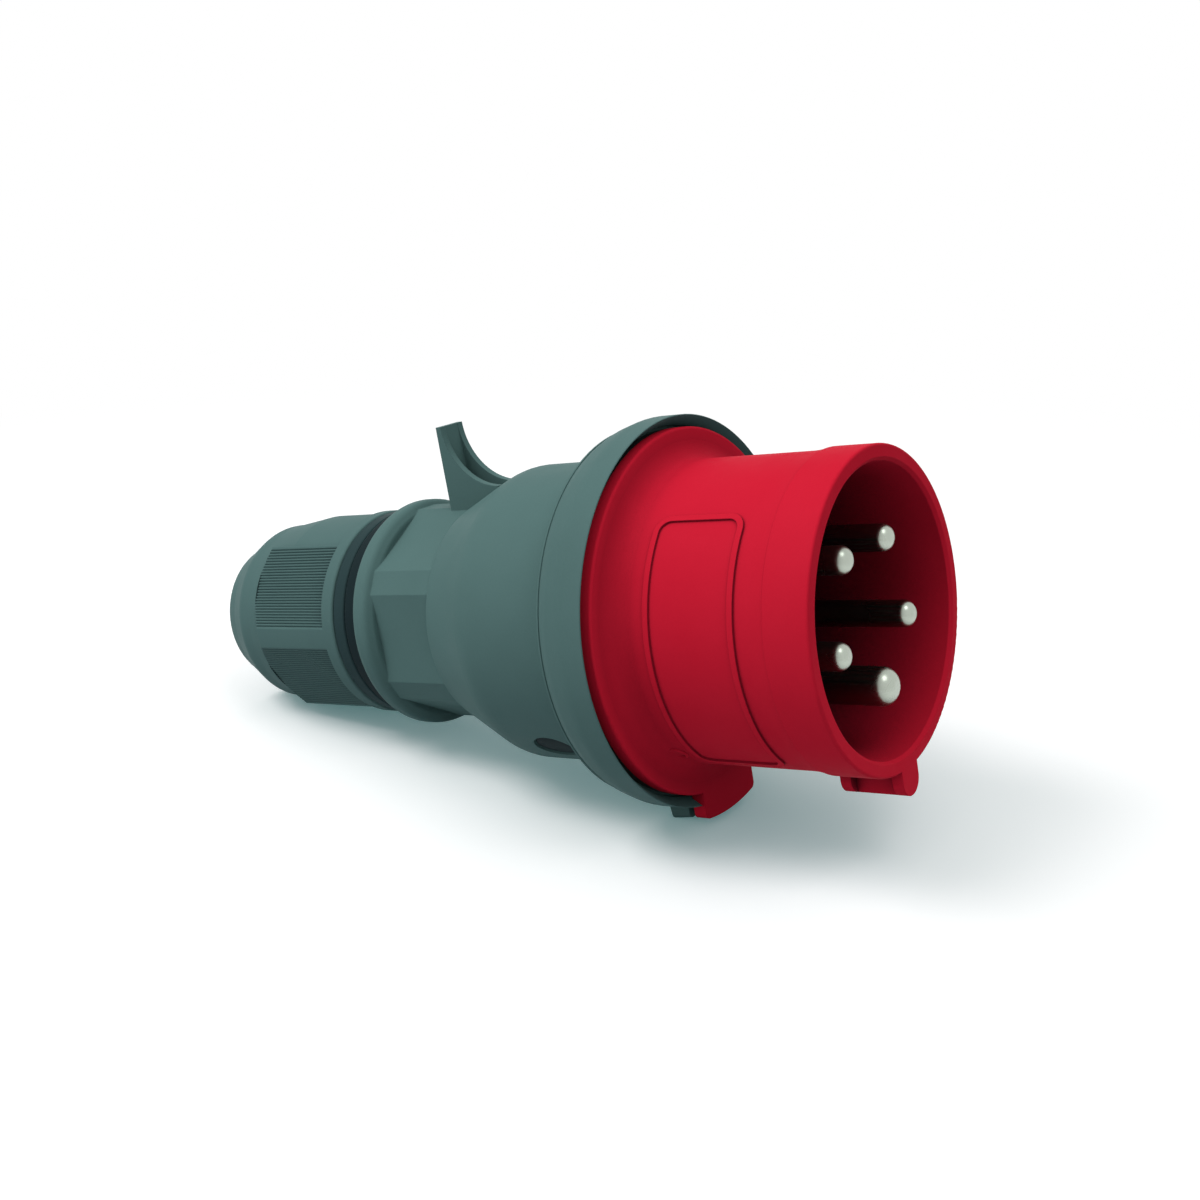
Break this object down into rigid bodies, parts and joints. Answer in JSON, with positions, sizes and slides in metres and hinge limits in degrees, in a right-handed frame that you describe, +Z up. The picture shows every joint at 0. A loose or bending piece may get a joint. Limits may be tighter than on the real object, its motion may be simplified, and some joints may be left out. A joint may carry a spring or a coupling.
{
  "type": "industrial pin and sleeve plug",
  "caption": "Industrial pin and sleeve plug with red contact sleeve, twist-locked grey housing, catch hook, phase-swapping disc and screwed cable gland.",
  "frame": {"origin": "on the ground under the middle of the plug's overall length, in its plane of symmetry", "axes": "+X towards the nose with the contact pins, +Z up; the plug rests on its foot and gland nut, nose up by 11.1 degrees"},
  "size_m": [0.1598, 0.0726, 0.075],
  "materials": {
    "red_plastic": "fine moulded texture",
    "grey_plastic": "fine moulded texture",
    "nut_plastic": "fine moulded texture, grooved flats",
    "dark_plastic": "satin",
    "black_rubber": "matt",
    "block_plastic": "satin",
    "disc_plastic": "satin",
    "nickel_brass": "nickel plated, polished",
    "zinc_steel": "zinc plated",
    "spring_steel": "drawn wire",
    "seal_rubber": "matt"
  },
  "bodies": {
    "housing": {"housing": "grey_plastic", "gland_sleeve": "dark_plastic", "spigot_o_ring": "black_rubber", "nut_seal_ring": "dark_plastic", "clamping_basket": "dark_plastic", "cable_seal": "seal_rubber"},
    "contact_insert": {"contact_carrier": "red_plastic", "flange_seal": "black_rubber", "terminal_block": "block_plastic", "terminal_screws": "zinc_steel", "block_screws": "zinc_steel", "earth_pin": "nickel_brass", "neutral_pin": "nickel_brass", "outer_phase_pin": "nickel_brass", "disc_spring": "spring_steel", "disc_bridge": "block_plastic", "bridge_screws": "zinc_steel"},
    "thrust_washer": {"thrust_washer": "zinc_steel"},
    "inverter": {"inverter_disc": "disc_plastic", "left_swapping_pin": "nickel_brass", "right_swapping_pin": "nickel_brass", "disc_terminal_screws": "zinc_steel"},
    "slip_ring": {"slip_ring": "dark_plastic"},
    "gland_nut": {"gland_nut": "nut_plastic"}
  },
  "joints": [
    {"name": "carrier_twist", "type": "hinge", "parent": "housing", "child": "contact_insert", "pos_m": [0.02933, 0, 0.03817], "axis": [0.9813, 0, 0.1926], "range_deg": [0, 20]},
    {"name": "disc_press", "type": "slide", "parent": "contact_insert", "child": "thrust_washer", "axis": [-0.9813, 0, -0.1926], "range_m": [0, 0.0015], "stiffness_N_per_m": 2000, "springref_m": -0.003, "deforming": ["disc_spring"]},
    {"name": "disc_turn", "type": "hinge", "parent": "thrust_washer", "child": "inverter", "pos_m": [0.03154, 0, 0.04979], "axis": [0.9813, 0, 0.1926], "range_deg": [0, 180]},
    {"name": "nut_advance", "type": "slide", "parent": "housing", "child": "slip_ring", "axis": [-0.9813, 0, -0.1926], "range_m": [0, 0.0045]},
    {"name": "nut_turn", "type": "hinge", "parent": "slip_ring", "child": "gland_nut", "pos_m": [-0.0684, 0, 0.01899], "axis": [-0.9813, 0, -0.1926], "range_deg": [0, 1080]}
  ],
  "couplings": [
    {"joint": "nut_advance", "follows": "nut_turn", "m_per_rad": 0.00023873}
  ]
}
